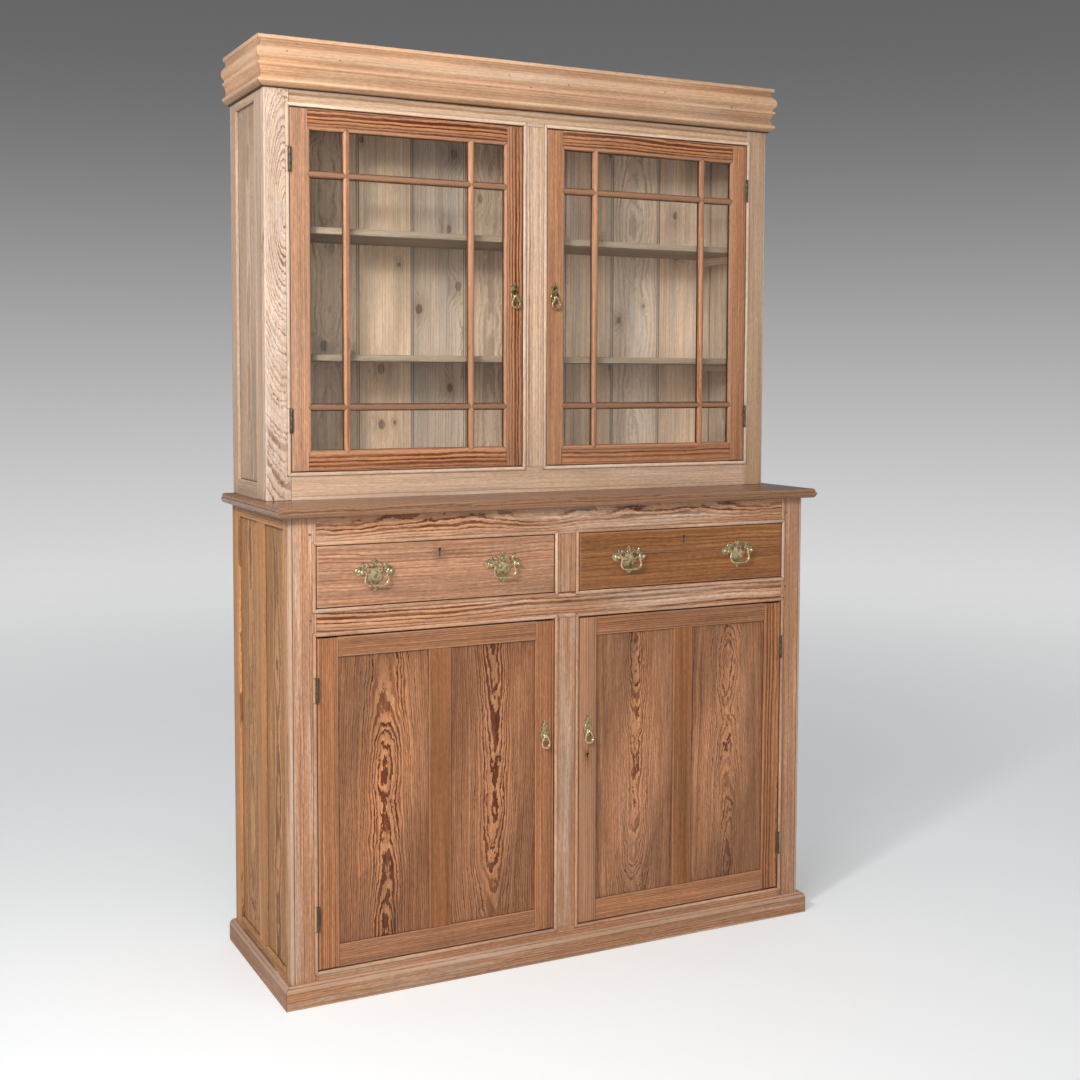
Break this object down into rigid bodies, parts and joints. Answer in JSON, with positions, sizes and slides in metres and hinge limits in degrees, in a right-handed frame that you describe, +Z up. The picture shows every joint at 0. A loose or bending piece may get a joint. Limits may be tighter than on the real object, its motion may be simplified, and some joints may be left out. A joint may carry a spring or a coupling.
{
  "type": "step back cupboard",
  "caption": "Two-stage pine cupboard: base with drawers over panelled doors, shallower top with glazed doors over shelves and a moulded cornice.",
  "frame": {"origin": "centre of the footprint of the whole box, on the floor under the plinth", "axes": "+Z up, +X to the right along the width as seen from the front, +Y from the front to the back, so the doors and drawers open towards -Y"},
  "size_m": [1.32, 0.451, 2],
  "materials": {
    "pale_pine": "stripped and lightly waxed, satin",
    "frame_pine": "stripped and waxed, satin",
    "red_pine": "waxed with a strong red brown grain, satin",
    "side_pine": "waxed, olive brown, satin",
    "waxed_pine": "waxed, smooth and glossy",
    "inside_pine": "dry and grey brown, matte",
    "brass": "aged, rubbed bright on its edges",
    "hinge_iron": "dark and worn",
    "glass": "clear"
  },
  "bodies": {
    "case": {"plinth": "frame_pine", "base_left_side": "side_pine", "base_right_side": "side_pine", "base_face_frame": "frame_pine", "base_bottom": "inside_pine", "base_back": "inside_pine", "drawer_frame": "inside_pine", "waist_board": "waxed_pine", "upper_left_side": "side_pine", "upper_right_side": "side_pine", "upper_face_frame": "pale_pine", "upper_bottom": "inside_pine", "upper_back": "inside_pine", "lower_shelf": "inside_pine", "upper_shelf": "inside_pine", "cornice": "pale_pine", "lower_left_door_bottom_hinge_frame_leaf": "hinge_iron", "lower_left_door_top_hinge_frame_leaf": "hinge_iron", "lower_right_door_bottom_hinge_frame_leaf": "hinge_iron", "lower_right_door_top_hinge_frame_leaf": "hinge_iron", "upper_left_door_bottom_hinge_frame_leaf": "hinge_iron", "upper_left_door_top_hinge_frame_leaf": "hinge_iron", "upper_right_door_bottom_hinge_frame_leaf": "hinge_iron", "upper_right_door_top_hinge_frame_leaf": "hinge_iron"},
    "left_drawer": {"left_drawer_front": "red_pine", "left_drawer_box": "inside_pine", "left_drawer_left_pull_plate": "brass", "left_drawer_right_pull_plate": "brass"},
    "left_drawer_left_bail": {"left_drawer_left_pull_bail": "brass"},
    "left_drawer_right_bail": {"left_drawer_right_pull_bail": "brass"},
    "right_drawer": {"right_drawer_front": "red_pine", "right_drawer_box": "inside_pine", "right_drawer_left_pull_plate": "brass", "right_drawer_right_pull_plate": "brass"},
    "right_drawer_left_bail": {"right_drawer_left_pull_bail": "brass"},
    "right_drawer_right_bail": {"right_drawer_right_pull_bail": "brass"},
    "lower_left_door": {"lower_left_door_frame": "red_pine", "lower_left_door_panel": "red_pine", "lower_left_door_bottom_hinge_door_leaf": "hinge_iron", "lower_left_door_top_hinge_door_leaf": "hinge_iron", "lower_left_door_pull_plate": "brass"},
    "lower_left_door_loop": {"lower_left_door_pull_loop": "brass"},
    "lower_right_door": {"lower_right_door_frame": "red_pine", "lower_right_door_panel": "red_pine", "lower_right_door_bottom_hinge_door_leaf": "hinge_iron", "lower_right_door_top_hinge_door_leaf": "hinge_iron", "lower_right_door_pull_plate": "brass"},
    "lower_right_door_loop": {"lower_right_door_pull_loop": "brass"},
    "upper_left_door": {"upper_left_door_frame": "red_pine", "upper_left_door_glass": "glass", "upper_left_door_bottom_hinge_door_leaf": "hinge_iron", "upper_left_door_top_hinge_door_leaf": "hinge_iron", "upper_left_door_pull_plate": "brass"},
    "upper_left_door_loop": {"upper_left_door_pull_loop": "brass"},
    "upper_right_door": {"upper_right_door_frame": "red_pine", "upper_right_door_glass": "glass", "upper_right_door_bottom_hinge_door_leaf": "hinge_iron", "upper_right_door_top_hinge_door_leaf": "hinge_iron", "upper_right_door_pull_plate": "brass"},
    "upper_right_door_loop": {"upper_right_door_pull_loop": "brass"}
  },
  "joints": [
    {"name": "left_drawer_slide", "type": "slide", "parent": "case", "child": "left_drawer", "axis": [0, -1, 0], "range_m": [0, 0.26]},
    {"name": "left_drawer_left_bail_swing", "type": "hinge", "parent": "left_drawer", "child": "left_drawer_left_bail", "pos_m": [-0.45, -0.2115, 0.893], "axis": [-1, 0, 0], "range_deg": [0, 85]},
    {"name": "left_drawer_right_bail_swing", "type": "hinge", "parent": "left_drawer", "child": "left_drawer_right_bail", "pos_m": [-0.157, -0.2115, 0.893], "axis": [-1, 0, 0], "range_deg": [0, 85]},
    {"name": "right_drawer_slide", "type": "slide", "parent": "case", "child": "right_drawer", "axis": [0, -1, 0], "range_m": [0, 0.26]},
    {"name": "right_drawer_left_bail_swing", "type": "hinge", "parent": "right_drawer", "child": "right_drawer_left_bail", "pos_m": [0.157, -0.2115, 0.893], "axis": [-1, 0, 0], "range_deg": [0, 85]},
    {"name": "right_drawer_right_bail_swing", "type": "hinge", "parent": "right_drawer", "child": "right_drawer_right_bail", "pos_m": [0.45, -0.2115, 0.893], "axis": [-1, 0, 0], "range_deg": [0, 85]},
    {"name": "lower_left_door_swing", "type": "hinge", "parent": "case", "child": "lower_left_door", "pos_m": [-0.57585, -0.2029, 0.416], "axis": [0, 0, -1], "range_deg": [0, 110]},
    {"name": "lower_left_door_loop_swing", "type": "hinge", "parent": "lower_left_door", "child": "lower_left_door_loop", "pos_m": [-0.0543, -0.2075, 0.506], "axis": [-1, 0, 0], "range_deg": [0, 85]},
    {"name": "lower_right_door_swing", "type": "hinge", "parent": "case", "child": "lower_right_door", "pos_m": [0.57585, -0.2029, 0.416], "axis": [0, 0, 1], "range_deg": [0, 110]},
    {"name": "lower_right_door_loop_swing", "type": "hinge", "parent": "lower_right_door", "child": "lower_right_door_loop", "pos_m": [0.0543, -0.2075, 0.506], "axis": [-1, 0, 0], "range_deg": [0, 85]},
    {"name": "upper_left_door_swing", "type": "hinge", "parent": "case", "child": "upper_left_door", "pos_m": [-0.57585, -0.0399, 1.476], "axis": [0, 0, -1], "range_deg": [0, 110]},
    {"name": "upper_left_door_loop_swing", "type": "hinge", "parent": "upper_left_door", "child": "upper_left_door_loop", "pos_m": [-0.0513, -0.0445, 1.478], "axis": [-1, 0, 0], "range_deg": [0, 85]},
    {"name": "upper_right_door_swing", "type": "hinge", "parent": "case", "child": "upper_right_door", "pos_m": [0.57585, -0.0399, 1.476], "axis": [0, 0, 1], "range_deg": [0, 110]},
    {"name": "upper_right_door_loop_swing", "type": "hinge", "parent": "upper_right_door", "child": "upper_right_door_loop", "pos_m": [0.0513, -0.0445, 1.478], "axis": [-1, 0, 0], "range_deg": [0, 85]}
  ]
}
